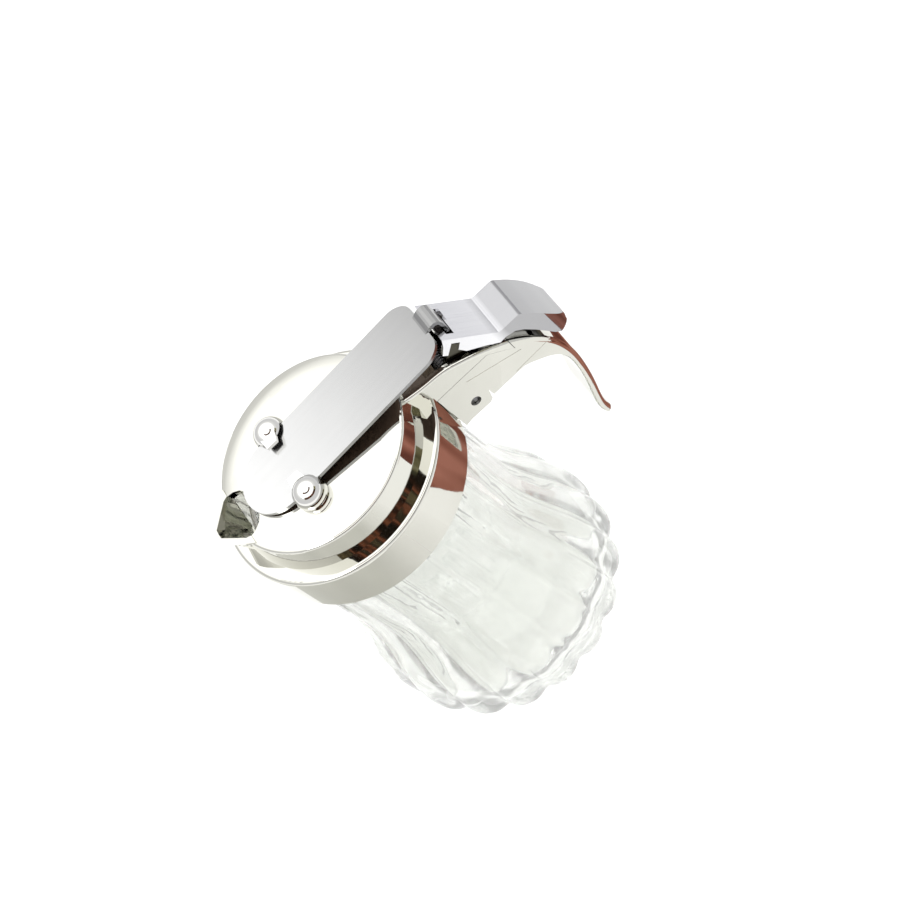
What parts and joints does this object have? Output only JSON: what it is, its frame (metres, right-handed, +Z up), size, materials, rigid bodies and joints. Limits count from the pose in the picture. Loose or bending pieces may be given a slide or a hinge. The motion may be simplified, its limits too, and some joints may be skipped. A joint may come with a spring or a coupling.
{
  "type": "honey dispenser",
  "caption": "Fluted bell-shaped glass honey dispenser with a chromed screw lid, a pouring beak under a sliding gate, a sprung thumb lever and a hooked handle.",
  "frame": {"origin": "centre of the jar's base, on the surface it stands on", "axes": "+Z up along the jar's axis; the beak points to -X and the handle to +X; XZ is the plane of symmetry"},
  "size_m": [0.106, 0.0756, 0.1084],
  "materials": {
    "glass": "clear pressed glass",
    "chrome": "polished chrome plating",
    "steel_sheet": "satin",
    "steel_wire": "dark drawn wire",
    "seal": "matt"
  },
  "bodies": {
    "jar": {"glass_jar": "glass"},
    "seal": {"lid_gasket": "seal"},
    "lid": {"lid_shell": "chrome", "guide_near": "chrome", "guide_far": "chrome", "lever_pin": "steel_wire", "torsion_spring": "steel_wire", "handle": "chrome", "handle_pin": "steel_wire"},
    "lever": {"thumb_lever": "steel_sheet"},
    "gate": {"gate_plate": "steel_sheet"}
  },
  "joints": [
    {"name": "lid_lift", "type": "slide", "parent": "jar", "child": "seal", "axis": [0, 0, 1], "range_m": [0, 0.005]},
    {"name": "lid_turn", "type": "hinge", "parent": "seal", "child": "lid", "pos_m": [0, 0, 0.0914], "axis": [0, 0, 1], "range_deg": [0, 360]},
    {"name": "lever_press", "type": "hinge", "parent": "lid", "child": "lever", "pos_m": [0.03825, 0, 0.092], "axis": [0, -1, 0], "range_deg": [0, 48], "stiffness_Nm_per_rad": 0.05, "springref_deg": 60.16},
    {"name": "gate_slide", "type": "slide", "parent": "lid", "child": "gate", "axis": [-1, 0, 0], "range_m": [0, 0.0113]}
  ],
  "couplings": [
    {"joint": "lid_lift", "follows": "lid_turn", "m_per_rad": 0.00079577},
    {"joint": "lever_press", "follows": "gate_slide", "rad_per_m": 74.13}
  ]
}
